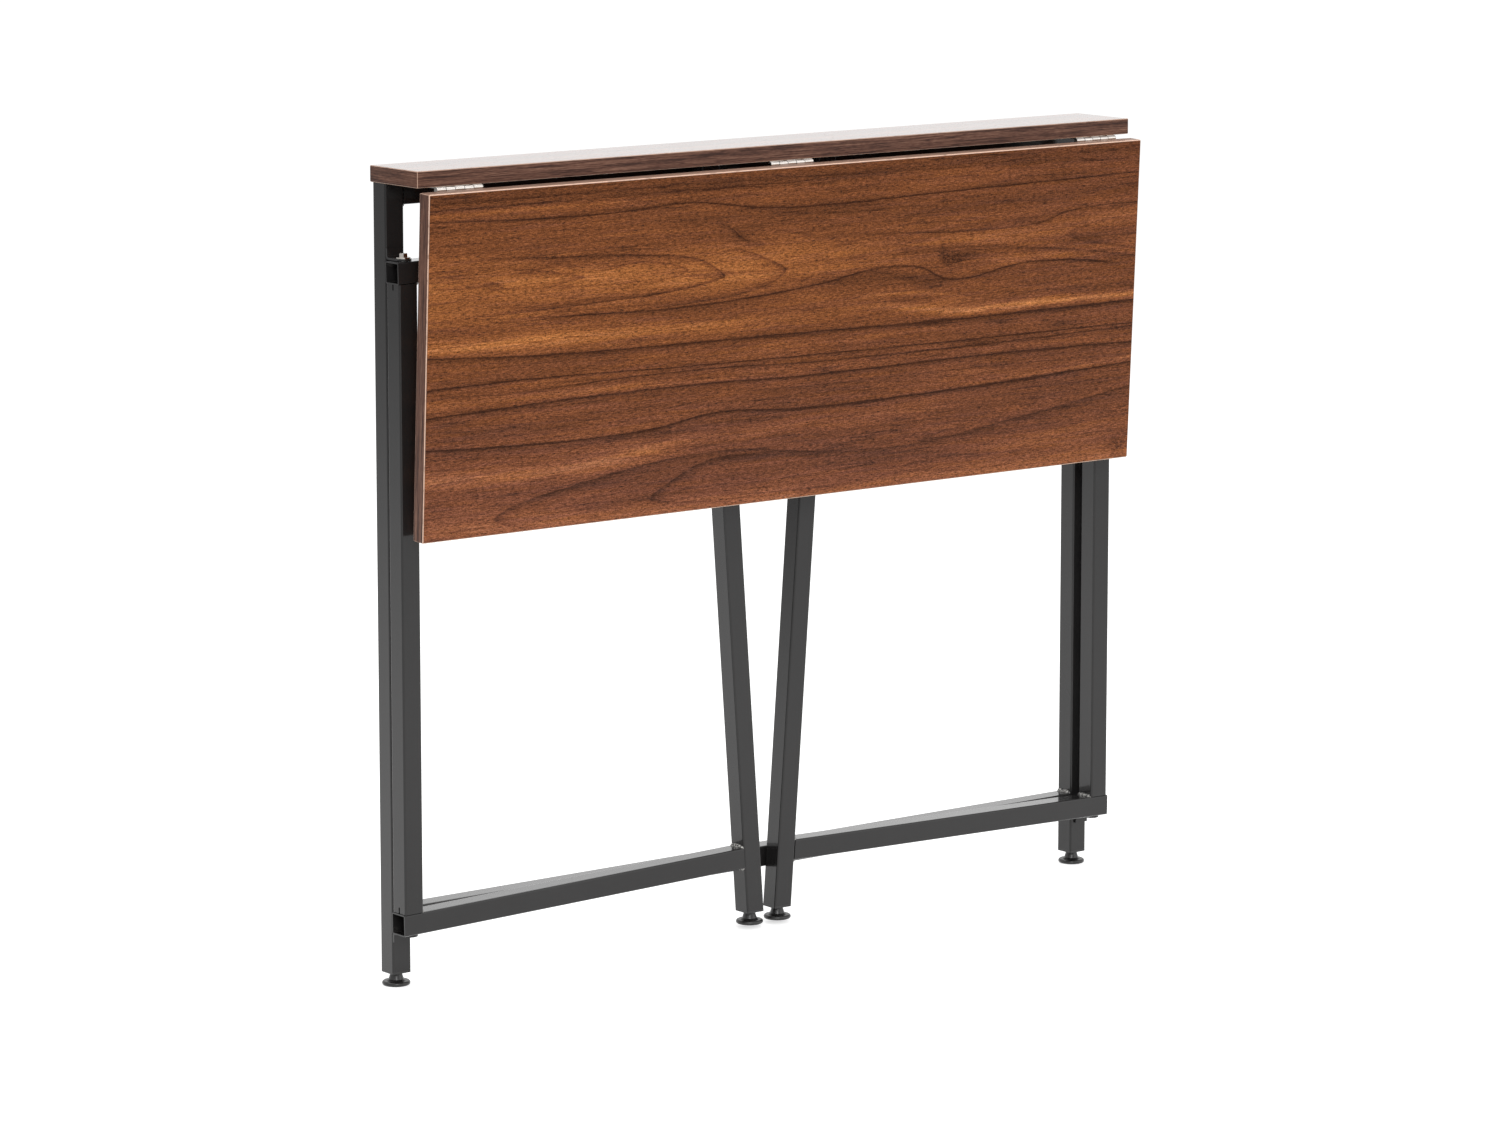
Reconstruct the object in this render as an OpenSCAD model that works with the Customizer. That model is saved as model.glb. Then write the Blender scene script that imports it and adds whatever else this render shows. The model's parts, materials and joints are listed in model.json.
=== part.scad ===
// Folding computer desk with a drop leaf and two swinging gate legs.
// X runs along the desk, +Y points to its back, +Z up, and the floor is z = 0.
// It is drawn folded: the leaf hangs down in front and both gates are closed.

/* [Boards] */
// Width of the fixed top and of the leaf
desk_w = 840; // [640:10:1200]
// Height of the fixed top's upper face above the floor
desk_h = 750; // [680:5:800]
// Depth of the fixed top, front to back
top_d = 75; // [73:1:110]
// Length of the leaf, from its hinged edge to its free edge
leaf_l = 314; // [260:2:350]
// Thickness of both boards
board_t = 15; // [12:0.5:20]
// Thickness of the plastic strips on the boards' edges
edging_t = 1; // [0.4:0.1:2]
// Angle that the hanging leaf leans back from upright
leaf_lean = 2.8; // [0:0.1:3.4]

/* [Tubes] */
// Outer width of the square steel tube
tube = 20; // [18:0.5:21]
// Wall of the square steel tube
tube_wall = 1.2; // [0.8:0.1:1.6]
// Outer corner radius of the square steel tube
tube_round = 1.8; // [1.7:0.1:3]

/* [Rear frame] */
// Distance from an end of the fixed top to the outer face of its post
post_inset = 1; // [0.5:0.5:8]
// Distance from the front edge of the fixed top to the front of the posts
frame_setback = 52; // [48:0.5:53]
// Height of the lower rails' undersides above the floor
low_rail_z = 53; // [46:1:120]
// Distance from a screw that holds the fixed top to its post
top_screw_inset = 60; // [30:5:150]

/* [Gates] */
// Gap between the gates and the rear frame at the pivots
gate_gap = 6.5; // [6.2:0.1:9]
// Angle by which the closed gates are turned back towards the rear frame
gate_rest = 0.7; // [0:0.05:0.8]
// How far a gate's stile stands out past its post
gate_overhang = 4; // [0:0.2:5]
// How far the open ends of a gate's rails stand out past its stile
rail_stub = 1; // [0.2:0.2:4]
// Angle by which a gate's rails rise towards its leg
rail_rise = 1.1; // [0:0.1:1.5]
// Distance from the fixed top's underside down to the gates' upper rails
gate_drop = 68; // [50:0.5:160]
// Angle that the legs lean towards the pivots
leg_lean = 4.2; // [2:0.1:6]
// Distance between the two legs' feet when both gates are closed
feet_apart = 33.5; // [32:0.5:60]
// Height of the closed gates' feet above the floor
gate_lift = 4; // [0:0.5:8]
// Clearance between a leg's cap and the board that it slides under
leg_clear = 0.4; // [0.3:0.1:1]
// Thickness of the flange of a leg's cap
cap_t = 2.5; // [1.5:0.5:4]
// Width of the notches that drain a gate's stile
drain_w = 1.8; // [1:0.1:3]
// Length of the notches that drain a gate's stile
drain_l = 5; // [3:0.5:9]

/* [Gate pivots] */
// Distance from a post's middle out to its gate's pivot
pivot_out = 2.5; // [2.2:0.1:4]
// Thickness of the pivot brackets
bracket_t = 2; // [1.5:0.5:3]
// Width of the pivot brackets
bracket_w = 15; // [14:0.5:16]
// Height of a bracket's tab on the post
bracket_tab = 8; // [7:0.5:16]
// Diameter of the pivot bolts and rivets
bolt_d = 5; // [4:0.5:6]
// Width across the flats of the bolt heads
bolt_flats = 7; // [7:0.5:10]
// Height of the bolt heads
bolt_head = 3.5; // [2.5:0.5:5]
// Width across the flats of the nuts
nut_flats = 8; // [8:0.5:10]
// Height of the nuts
nut_h = 4; // [3:0.2:5]
// Length of a bolt's end past its nut
bolt_end = 1.5; // [0:0.5:3]
// Diameter of the heads of the rivets in the lower pivots
rivet_head_d = 10; // [8:0.5:12]
// Thickness of the heads of the rivets in the lower pivots
rivet_head_h = 2; // [1:0.5:4]
// Diameter of the washers
washer_d = 13; // [12.5:0.5:15]
// Thickness of the washers
washer_t = 1.2; // [0.8:0.1:1.6]

/* [Hinges] */
// Length of a butt hinge
hinge_l = 50; // [40:1:80]
// Width of each plate of a hinge, from its pin
hinge_w = 18; // [14:0.5:20]
// Thickness of the hinge plates
hinge_t = 1.1; // [0.8:0.1:1.3]
// Diameter of the hinge knuckles
knuckle_d = 4.6; // [4.2:0.1:4.8]
// Diameter of the hinge pins
pin_d = 2.4; // [2:0.1:2.8]
// Distance from the boards' undersides down to the hinge pins
pin_drop = 2.6; // [2.5:0.1:3]
// Gap between the fixed top and the raised leaf
board_gap = 1.6; // [1:0.1:2.4]
// Distance from an end of the boards to the centre of the outer hinges
hinge_inset = 44; // [40:1:120]
// Distance between the two screws of a hinge plate
hinge_screw_pitch = 30; // [24:1:34]

/* [Screws] */
// Diameter of the hinge screws
small_screw_d = 2.9; // [2.5:0.1:3.5]
// Diameter of the hinge screws' countersunk heads
small_head_d = 5.8; // [5:0.1:7]
// Depth of the hinge screws in the boards
small_screw_l = 10; // [6:0.5:11]
// Diameter of the screws that hold the fixed top
big_screw_d = 4; // [3.5:0.1:5]
// Diameter of the heads of the screws that hold the fixed top
big_head_d = 8; // [7:0.5:9]
// Height of the heads of the screws that hold the fixed top
big_head_h = 2.6; // [2:0.1:3.5]
// Depth in the fixed top of the screws that hold it
big_screw_l = 10; // [6:0.5:11]

/* [Feet] */
// Height of the tubes' lower ends above the floor
foot_h = 14; // [13:0.5:20]
// Diameter of a levelling foot's base
foot_d = 26; // [22:0.5:30]
// Thickness of a levelling foot's base
foot_rim = 4; // [3:0.5:5]
// Diameter of a levelling foot's neck at its top
neck_d = 11; // [10:0.5:13]
// Diameter of a levelling foot's neck where it meets the base
neck_root_d = 14; // [13:0.5:16]
// Height above the base at which a levelling foot's neck starts to widen
neck_flare_h = 1.4; // [0.6:0.2:3]
// Diameter of a levelling foot's threaded stem
stem_d = 8; // [6:0.5:8.5]
// Length of a levelling foot's stem above its neck
stem_l = 22; // [16:1:40]
// Thickness of the flange of a tube's plug
plug_flange = 2; // [1.5:0.5:3]
// Depth of a tube's plug inside the tube
plug_depth = 14; // [10:1:24]

/* [Hidden] */

$fn = 48;

// Gap between parts that move past each other
play = 0.3;
// Clearance of a pin or a bolt in its hole, on the radius
fit = 0.05;
// A length longer than any part, for cutting tools
far = 2 * (desk_w + desk_h);

left = -1;
right = 1;

walnut = [0.46, 0.27, 0.17];
edge_brown = [0.38, 0.26, 0.21];
anthracite = [0.24, 0.24, 0.25];
black = [0.07, 0.07, 0.07];
zinc = [0.72, 0.73, 0.75];

// Angle through which the leaf swings between level and hanging
hang = 90 + leaf_lean;
under = desk_h - board_t;

// The hanging leaf stands out in front of the fixed top by this much
leaf_reach = board_gap / 2 * (1 + cos(hang)) + (pin_drop + board_t) * sin(hang);
front_y = (leaf_reach - top_d) / 2;
back_y = front_y + top_d;
pin_y = front_y - board_gap / 2;
pin_z = under - pin_drop;

post_x = desk_w / 2 - post_inset - tube / 2;
post_y = front_y + frame_setback + tube / 2;
frame_face = post_y - tube / 2;

gate_y = frame_face - gate_gap - tube / 2;
gate_end = desk_w / 2 - post_inset + gate_overhang;
stile_x = gate_end - tube / 2;
// Far enough out for the ends of the gates' rails to swing clear of the posts
pivot_x = post_x + pivot_out;
high_rail_z = under - gate_drop - tube;
leg_foot_x = feet_apart / 2;
leg_end_z = foot_h + gate_lift;

hinge_x = desk_w / 2 - hinge_inset;
knuckles = 5;
knuckle_l = hinge_l / knuckles;
hinge_screw_y = (hinge_w + knuckle_d / 2) / 2;

nut_gap = tube_wall + play;
bore_w = tube - 2 * tube_wall;

// Rounded square of width w, centred, with corner radius r
module rounded_square(w, r) {
    square([w, w - 2 * r], center = true);
    square([w - 2 * r, w], center = true);
    for (x = [-1, 1], y = [-1, 1])
        translate([x * (w / 2 - r), y * (w / 2 - r)])
            circle(r = r);
}

module tube_outline() {
    rounded_square(tube, tube_round);
}

module tube_bore_outline(clearance = 0) {
    rounded_square(bore_w - 2 * clearance, tube_round - tube_wall);
}

// Square tube along +Z from the origin
module tube_z(length) {
    linear_extrude(length)
        difference() {
            tube_outline();
            tube_bore_outline();
        }
}

// Square tube along +X from the origin
module tube_x(length) {
    rotate([90, 0, 90])
        tube_z(length);
}

// Keeps what lies between two heights
module slab(low, high) {
    intersection() {
        children();
        translate([-far / 2, -far / 2, low])
            cube([far, far, high - low]);
    }
}

// Places a left-hand part on its side, mirrored for the right
module on_side(side) {
    if (side == left)
        children();
    else
        mirror([1, 0, 0])
            children();
}

// Puts a column along +Z on the line of the left leg, which leans to the pivot
module on_left_leg() {
    translate([-leg_foot_x, gate_y, leg_end_z])
        rotate([0, -leg_lean, 0])
            translate([0, 0, -tube])
                children();
}

// Puts a bar along +X on the line of the left gate's rail at height z, which rises
// from the pivot to the leg
module on_left_rail(z) {
    translate([-pivot_x, gate_y, z + tube / 2])
        rotate([0, -rail_rise, 0])
            children();
}

// Turns the left gate about its pivot from square with the desk to where it rests
module closed() {
    translate([-pivot_x, gate_y, 0])
        rotate([0, 0, gate_rest])
            translate([pivot_x, -gate_y, 0])
                children();
}

module on_gate(side) {
    on_side(side)
        closed()
            children();
}

// Board with its edging left off, its hinged edge at y = 0 and its underside at z = 0
module bare_board(depth) {
    translate([-desk_w / 2 + edging_t, edging_t, 0])
        cube([desk_w - 2 * edging_t, depth - 2 * edging_t, board_t]);
}

module board_edging(depth) {
    for (y = [0, depth - edging_t])
        translate([-desk_w / 2, y, 0])
            cube([desk_w, edging_t, board_t]);
    for (x = [-desk_w / 2, desk_w / 2 - edging_t])
        translate([x, edging_t, 0])
            cube([edging_t, depth - 2 * edging_t, board_t]);
}

// Puts parts drawn about a hinge's pin on each hinge
module at_hinges() {
    for (x = [-hinge_x, 0, hinge_x])
        translate([x, pin_y, pin_z])
            children();
}

module at_hinge_screws() {
    for (x = [-1, 1])
        translate([x * hinge_screw_pitch / 2, hinge_screw_y, 0])
            children();
}

// Holes for the hinge screws, drawn about the pin for the board towards +Y
module hinge_screw_pilots() {
    at_hinge_screws()
        translate([0, 0, pin_drop])
            cylinder(d = small_screw_d + 2 * fit, h = small_screw_l + play);
}

// Flat screws that hold a hinge plate, drawn about the pin
module hinge_screw_set() {
    at_hinge_screws()
        translate([0, 0, pin_drop - hinge_t]) {
            cylinder(d1 = small_head_d - 2 * fit, d2 = small_screw_d, h = hinge_t);
            cylinder(d = small_screw_d, h = hinge_t + small_screw_l);
        }
}

// One plate of a butt hinge, drawn about its pin and lying towards +Y.
// It carries every second knuckle, starting with knuckle number first.
module hinge_plate(first) {
    reach = knuckle_d / 2 + play;
    difference() {
        union() {
            for (i = [0 : knuckles - 1])
                translate([-hinge_l / 2 + i * knuckle_l, 0, 0])
                    if (i % 2 == first)
                        knuckle(i > 0, i < knuckles - 1);
            translate([-hinge_l / 2, reach, pin_drop - hinge_t])
                cube([hinge_l, hinge_w - reach, hinge_t]);
        }
        at_hinge_screws()
            translate([0, 0, pin_drop - hinge_t]) {
                cylinder(d1 = small_head_d, d2 = small_screw_d + 2 * fit, h = hinge_t);
                cylinder(d = small_screw_d + 2 * fit, h = hinge_t);
            }
    }
}

// Rolled eye of a hinge plate, drawn about the pin from x = 0.
// A side next to another knuckle is drawn in, so that the two stay apart.
module knuckle(drawn_low, drawn_high) {
    low = drawn_low ? play / 2 : 0;
    high = knuckle_l - (drawn_high ? play / 2 : 0);
    translate([low, 0, 0])
        rotate([90, 0, 90])
            linear_extrude(high - low)
                difference() {
                    union() {
                        circle(d = knuckle_d);
                        translate([0, pin_drop - hinge_t])
                            square([hinge_w / 2, hinge_t]);
                    }
                    circle(d = pin_d + 2 * fit);
                }
}

module hinge_pin() {
    rotate([0, 90, 0])
        cylinder(d = pin_d, h = hinge_l, center = true);
}

// Turns the leaf's parts, drawn as they lie with the leaf level, down to hanging
module hung() {
    translate([0, pin_y, pin_z])
        rotate([hang, 0, 0])
            translate([0, -pin_y, -pin_z])
                children();
}

// Puts parts drawn about the pin towards +Y on the leaf's side of the pin
module leaf_side() {
    mirror([0, 1, 0])
        children();
}

// Puts parts drawn about a pivot's bolt, with the gate's rail below z = 0, on the
// upper pivot (up = 1) or, upside down, on the lower pivot (up = -1)
module at_pivot(side, up) {
    on_side(side)
        translate([-pivot_x, gate_y, up > 0 ? high_rail_z + tube : low_rail_z])
            mirror([0, 0, up > 0 ? 0 : 1])
                children();
}

// Bent plate welded to the front of a post, with a round end about the bolt
module pivot_bracket() {
    depth = frame_face - gate_y;
    difference() {
        intersection() {
            linear_extrude(play + bracket_t + bracket_tab) {
                circle(d = bracket_w);
                translate([-bracket_w / 2, 0])
                    square([bracket_w, depth]);
            }
            translate([-bracket_w, 0, 0])
                rotate([90, 0, 90])
                    linear_extrude(2 * bracket_w)
                        bracket_profile(depth);
        }
        cylinder(d = bolt_d + 2 * fit, h = bracket_tab);
    }
}

// Side view of a bracket: the flat plate, the bend and the tab
module bracket_profile(depth) {
    translate([-bracket_w, play])
        square([bracket_w + depth - 2 * bracket_t, bracket_t]);
    translate([depth - bracket_t, play + 2 * bracket_t])
        square([bracket_t, bracket_tab - bracket_t]);
    translate([depth - 2 * bracket_t, play + 2 * bracket_t])
        intersection() {
            difference() {
                circle(r = 2 * bracket_t);
                circle(r = bracket_t);
            }
            translate([0, -2 * bracket_t])
                square(2 * bracket_t);
        }
}

// Hexagon bolt of an upper pivot, with its head above the bracket and its washer
module pivot_bolt() {
    seat = play + bracket_t + washer_t;
    tail = nut_gap + nut_h + bolt_end;
    translate([0, 0, -tail])
        cylinder(d = bolt_d, h = tail + seat + bolt_head / 2);
    translate([0, 0, seat])
        intersection() {
            cylinder(d = bolt_flats / cos(30), h = bolt_head, $fn = 6);
            cylinder(d1 = bolt_flats + 2 * bolt_head, d2 = bolt_flats, h = bolt_head);
        }
}

// Rivet of a lower pivot, with its head inside the rail and flush with the bracket
module pivot_rivet() {
    base = nut_gap + rivet_head_h;
    translate([0, 0, -base]) {
        cylinder(d = rivet_head_d, h = rivet_head_h);
        cylinder(d = bolt_d, h = base + play + bracket_t);
    }
}

module pivot_nut() {
    difference() {
        translate([0, 0, -nut_gap - nut_h])
            cylinder(d = nut_flats / cos(30), h = nut_h, $fn = 6);
        translate([0, 0, -nut_gap - 2 * nut_h])
            cylinder(d = bolt_d + 2 * fit, h = 3 * nut_h);
    }
}

// Washer between the bracket and the bolt's head
module pivot_washer() {
    translate([0, 0, play + bracket_t])
        difference() {
            cylinder(d = washer_d, h = washer_t);
            translate([0, 0, -washer_t])
                cylinder(d = bolt_d + 2 * fit, h = 3 * washer_t);
        }
}

// Solid column on the line of a leaning leg, cut level at both ends
module leg_slice(low, high) {
    slab(low, high)
        on_left_leg()
            linear_extrude(desk_h + 2 * tube)
                children();
}

module left_leg() {
    slab(leg_end_z, under - leg_clear - cap_t)
        on_left_leg()
            tube_z(desk_h + 2 * tube);
}

module left_leg_cap() {
    top = under - leg_clear;
    leg_slice(top - cap_t, top)
        tube_outline();
    leg_slice(top - cap_t - plug_depth, top - cap_t)
        tube_bore_outline(fit);
}

// Plug in the lower end of a leaning leg, bored upright for its foot
module left_leg_plug() {
    difference() {
        union() {
            leg_slice(leg_end_z - plug_flange, leg_end_z)
                tube_outline();
            leg_slice(leg_end_z, leg_end_z + plug_depth)
                tube_bore_outline(fit);
        }
        translate([-leg_foot_x, gate_y, 0])
            cylinder(d = stem_d + 2 * fit, h = leg_end_z + 2 * plug_depth);
    }
}

module post_plug() {
    difference() {
        union() {
            translate([0, 0, foot_h - plug_flange])
                linear_extrude(plug_flange)
                    tube_outline();
            translate([0, 0, foot_h])
                linear_extrude(plug_depth)
                    tube_bore_outline(fit);
        }
        cylinder(d = stem_d + 2 * fit, h = foot_h + 2 * plug_depth);
    }
}

// Rail of the left gate, open at the pivot and cut along the leg's side
module left_gate_rail(z, bolt_z) {
    difference() {
        on_left_rail(z)
            translate([pivot_x - gate_end - rail_stub, 0, 0])
                tube_x(gate_end);
        on_left_leg()
            translate([-tube / 2, -tube, 0])
                cube([far, 2 * tube, far]);
        translate([-pivot_x, gate_y, bolt_z - tube / 2])
            cylinder(d = bolt_d + 2 * fit, h = tube);
    }
}

// Stile of the left gate, cut along the rails, with a drain notch at each end of its
// outer face
module left_gate_stile() {
    low = low_rail_z + tube;
    high = high_rail_z;
    difference() {
        translate([-stile_x, gate_y, low - tube])
            tube_z(high - low + 2 * tube);
        on_left_rail(low_rail_z)
            translate([-tube, -tube, -far + tube / 2])
                cube([2 * tube, 2 * tube, far]);
        on_left_rail(high_rail_z)
            translate([-tube, -tube, -tube / 2])
                cube([2 * tube, 2 * tube, far]);
        for (z = [low + drain_l / 2, high - drain_l / 2])
            translate([-gate_end - tube_wall, gate_y, z])
                drain_notch();
    }
}

// Slot with round ends, centred on a notch and longer than it at both ends
module drain_notch() {
    rotate([90, 0, 90])
        linear_extrude(3 * tube_wall) {
            square([drain_w, drain_l], center = true);
            for (z = [-drain_l / 2, drain_l / 2])
                translate([0, z])
                    circle(d = drain_w);
        }
}

module post() {
    translate([0, 0, foot_h])
        tube_z(under - foot_h);
}

module rear_rail(z) {
    length = 2 * post_x - tube;
    translate([-length / 2, post_y, z + tube / 2])
        tube_x(length);
}

// Places of the screws that hold the fixed top on the upper rail
module at_top_screws() {
    span = post_x - tube / 2 - top_screw_inset;
    for (x = [-span, -span / 3, span / 3, span])
        translate([x, post_y, under])
            children();
}

// Levelling foot: a round base with a soft rim and a neck that tapers upwards
module foot() {
    neck_top = foot_h - plug_flange - play;
    root = neck_root_d / 2;
    difference() {
        rotate_extrude() {
            translate([foot_d / 2 - foot_rim / 2, foot_rim / 2])
                intersection() {
                    circle(d = foot_rim);
                    translate([0, -foot_rim])
                        square(2 * foot_rim);
                }
            square([foot_d / 2 - foot_rim / 2, foot_rim]);
            polygon([
                [0, foot_rim], [foot_d / 2 - foot_rim, foot_rim], [root, foot_rim + neck_flare_h],
                [neck_d / 2, neck_top - neck_flare_h], [neck_d / 2, neck_top], [0, neck_top]
            ]);
        }
        translate([0, 0, foot_rim])
            cylinder(d = stem_d + fit, h = foot_h);
    }
}

module stem() {
    translate([0, 0, foot_rim])
        cylinder(d = stem_d, h = foot_h - foot_rim + stem_l);
}

module at_rear_foot(side) {
    translate([side * post_x, post_y, 0])
        children();
}

module at_gate_foot(side) {
    on_gate(side)
        translate([-leg_foot_x, gate_y, gate_lift])
            children();
}

module fixed_top_board() {
    color(walnut)
        difference() {
            translate([0, front_y, under])
                bare_board(top_d);
            at_hinges()
                hinge_screw_pilots();
            at_top_screws()
                cylinder(d = big_screw_d + 2 * fit, h = big_screw_l + play);
        }
}

module fixed_top_edging() {
    color(edge_brown)
        translate([0, front_y, under])
            board_edging(top_d);
}

module top_fixing_screws() {
    color(zinc)
        at_top_screws() {
            translate([0, 0, -tube_wall - big_head_h])
                cylinder(d1 = big_head_d * 0.6, d2 = big_head_d, h = big_head_h);
            translate([0, 0, -tube_wall - big_head_h])
                cylinder(d = big_screw_d, h = big_head_h + tube_wall + big_screw_l);
        }
}

module rear_post(side) {
    color(anthracite)
        translate([side * post_x, post_y, 0])
            post();
}

module rear_top_rail() {
    color(anthracite)
        difference() {
            rear_rail(under - tube);
            at_top_screws() {
                translate([0, 0, -tube / 2])
                    cylinder(d = big_screw_d + 2 * fit, h = tube);
                translate([0, 0, -tube - tube_wall])
                    cylinder(d = big_head_d + 2 * play, h = tube / 2 + tube_wall);
            }
        }
}

module rear_bottom_rail() {
    color(anthracite)
        rear_rail(low_rail_z);
}

module rear_plug(side) {
    color(black)
        at_rear_foot(side)
            post_plug();
}

module hinge_top_plate(x) {
    color(zinc)
        translate([x, pin_y, pin_z])
            hinge_plate(0);
}

module hinge_leaf_plate(x) {
    color(zinc)
        hung()
            translate([x, pin_y, pin_z])
                leaf_side()
                    hinge_plate(1);
}

module hinge_pin_at(x) {
    color(zinc)
        translate([x, pin_y, pin_z])
            hinge_pin();
}

module hinge_top_screws() {
    color(zinc)
        at_hinges()
            hinge_screw_set();
}

module hinge_leaf_screws() {
    color(zinc)
        hung()
            at_hinges()
                leaf_side()
                    hinge_screw_set();
}

module leaf_board() {
    color(walnut)
        hung()
            difference() {
                translate([0, front_y - board_gap, under])
                    leaf_side()
                        bare_board(leaf_l);
                at_hinges()
                    leaf_side()
                        hinge_screw_pilots();
            }
}

module leaf_edging() {
    color(edge_brown)
        hung()
            translate([0, front_y - board_gap, under])
                leaf_side()
                    board_edging(leaf_l);
}

module bracket(side, up) {
    color(anthracite)
        at_pivot(side, up)
            pivot_bracket();
}

module upper_bolt(side) {
    color(zinc)
        at_pivot(side, 1)
            pivot_bolt();
}

module lower_rivet(side) {
    color(zinc)
        at_pivot(side, -1)
            pivot_rivet();
}

module pivot_nuts() {
    color(zinc)
        for (side = [left, right])
            at_pivot(side, 1)
                pivot_nut();
}

module pivot_washers() {
    color(zinc)
        for (side = [left, right])
            at_pivot(side, 1)
                pivot_washer();
}

module gate_stile(side) {
    color(anthracite)
        on_gate(side)
            left_gate_stile();
}

module gate_top_rail(side) {
    color(anthracite)
        on_gate(side)
            left_gate_rail(high_rail_z, high_rail_z + tube);
}

module gate_bottom_rail(side) {
    color(anthracite)
        on_gate(side)
            left_gate_rail(low_rail_z, low_rail_z);
}

module gate_leg(side) {
    color(anthracite)
        on_gate(side)
            left_leg();
}

module gate_leg_cap(side) {
    color(black)
        on_gate(side)
            left_leg_cap();
}

module gate_leg_plug(side) {
    color(black)
        on_gate(side)
            left_leg_plug();
}

module rear_foot(side) {
    color(black)
        at_rear_foot(side)
            foot();
}

module gate_foot(side) {
    color(black)
        at_gate_foot(side)
            foot();
}

module rear_stem(side) {
    color(zinc)
        at_rear_foot(side)
            stem();
}

module gate_stem(side) {
    color(zinc)
        at_gate_foot(side)
            stem();
}

fixed_top_board();
fixed_top_edging();
top_fixing_screws();
rear_post(left);  // rear_post_left
rear_post(right);  // rear_post_right
rear_top_rail();
rear_bottom_rail();
rear_plug(left);  // rear_plug_left
rear_plug(right);  // rear_plug_right
hinge_top_plate(-hinge_x);  // hinge_top_plate_left
hinge_top_plate(0);  // hinge_top_plate_middle
hinge_top_plate(hinge_x);  // hinge_top_plate_right
hinge_pin_at(-hinge_x);  // hinge_pin_left
hinge_pin_at(0);  // hinge_pin_middle
hinge_pin_at(hinge_x);  // hinge_pin_right
hinge_top_screws();
leaf_board();
leaf_edging();
hinge_leaf_plate(-hinge_x);  // hinge_leaf_plate_left
hinge_leaf_plate(0);  // hinge_leaf_plate_middle
hinge_leaf_plate(hinge_x);  // hinge_leaf_plate_right
hinge_leaf_screws();
bracket(left, 1);  // upper_bracket_left
bracket(right, 1);  // upper_bracket_right
bracket(left, -1);  // lower_bracket_left
bracket(right, -1);  // lower_bracket_right
upper_bolt(left);  // upper_bolt_left
upper_bolt(right);  // upper_bolt_right
lower_rivet(left);  // lower_rivet_left
lower_rivet(right);  // lower_rivet_right
pivot_nuts();
pivot_washers();
gate_stile(left);  // gate_stile_left
gate_top_rail(left);  // gate_top_rail_left
gate_bottom_rail(left);  // gate_bottom_rail_left
gate_leg(left);  // gate_leg_left
gate_leg_cap(left);  // gate_leg_cap_left
gate_leg_plug(left);  // gate_leg_plug_left
gate_stile(right);  // gate_stile_right
gate_top_rail(right);  // gate_top_rail_right
gate_bottom_rail(right);  // gate_bottom_rail_right
gate_leg(right);  // gate_leg_right
gate_leg_cap(right);  // gate_leg_cap_right
gate_leg_plug(right);  // gate_leg_plug_right
rear_foot(left);  // rear_foot_left
rear_foot(right);  // rear_foot_right
gate_foot(left);  // gate_foot_left
gate_foot(right);  // gate_foot_right
rear_stem(left);  // rear_stem_left
rear_stem(right);  // rear_stem_right
gate_stem(left);  // gate_stem_left
gate_stem(right);  // gate_stem_right
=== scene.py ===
"""Looks of the folding computer desk, laid out as a Blender add-on and run as a script.

Lengths are in metres in the meshes and in millimetres inside the materials.
"""

import json
import math

import bpy
import numpy as np
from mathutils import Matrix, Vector


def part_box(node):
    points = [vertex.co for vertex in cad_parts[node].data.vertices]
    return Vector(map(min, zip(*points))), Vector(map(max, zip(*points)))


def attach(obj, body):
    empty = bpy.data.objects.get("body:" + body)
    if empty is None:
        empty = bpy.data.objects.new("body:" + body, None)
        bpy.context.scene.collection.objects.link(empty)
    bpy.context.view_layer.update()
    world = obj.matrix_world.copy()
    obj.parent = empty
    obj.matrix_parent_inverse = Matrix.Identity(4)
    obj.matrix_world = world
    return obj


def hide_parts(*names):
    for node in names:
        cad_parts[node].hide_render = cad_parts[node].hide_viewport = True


bl_info = {
    "name": "Folding Desk Looks",
    "version": (1, 0, 0),
    "blender": (4, 5, 0),
    "location": "View3D > Sidebar > Desk",
    "description": "Finishes and fine details of a folding desk with gate legs",
    "category": "Object",
}

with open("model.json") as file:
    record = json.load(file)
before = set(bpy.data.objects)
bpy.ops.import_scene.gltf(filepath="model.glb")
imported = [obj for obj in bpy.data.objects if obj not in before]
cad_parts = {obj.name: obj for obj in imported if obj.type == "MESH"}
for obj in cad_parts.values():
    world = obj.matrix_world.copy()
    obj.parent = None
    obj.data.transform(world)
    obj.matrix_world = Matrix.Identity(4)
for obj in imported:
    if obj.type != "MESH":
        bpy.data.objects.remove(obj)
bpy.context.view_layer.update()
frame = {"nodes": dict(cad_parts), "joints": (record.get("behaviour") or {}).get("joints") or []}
NODES = frame["nodes"]

MM = 0.001
BODIES = ("rear_frame", "gate_left", "gate_right")

# Pin of the leaf's hinges, and the angle from level to hanging
LEAF_HINGE = next(joint for joint in frame["joints"] if joint["name"] == "leaf_hinge")
PIN = np.array(LEAF_HINGE["pos_m"])
HANG = math.radians(LEAF_HINGE["range_deg"][1])


def shade(red, green, blue):
    """Linear colour of a shade given from 0 to 255 as a screen shows it."""
    parts = np.array([red, green, blue]) / 255
    linear = np.where(parts <= 0.04045, parts / 12.92, ((parts + 0.055) / 1.055) ** 2.4)
    return tuple(float(part) for part in linear)


def colour_property(name, description, default):
    """Colour in linear light."""
    return bpy.props.FloatVectorProperty(
        name=name, description=description, default=default, subtype="COLOR", size=3, min=0, max=1
    )


def length_property(name, description, default, top):
    """Length in metres, from 0 to top."""
    return bpy.props.FloatProperty(
        name=name, description=description, default=default, min=0, max=top, unit="LENGTH",
        subtype="DISTANCE", precision=5,
    )


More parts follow.
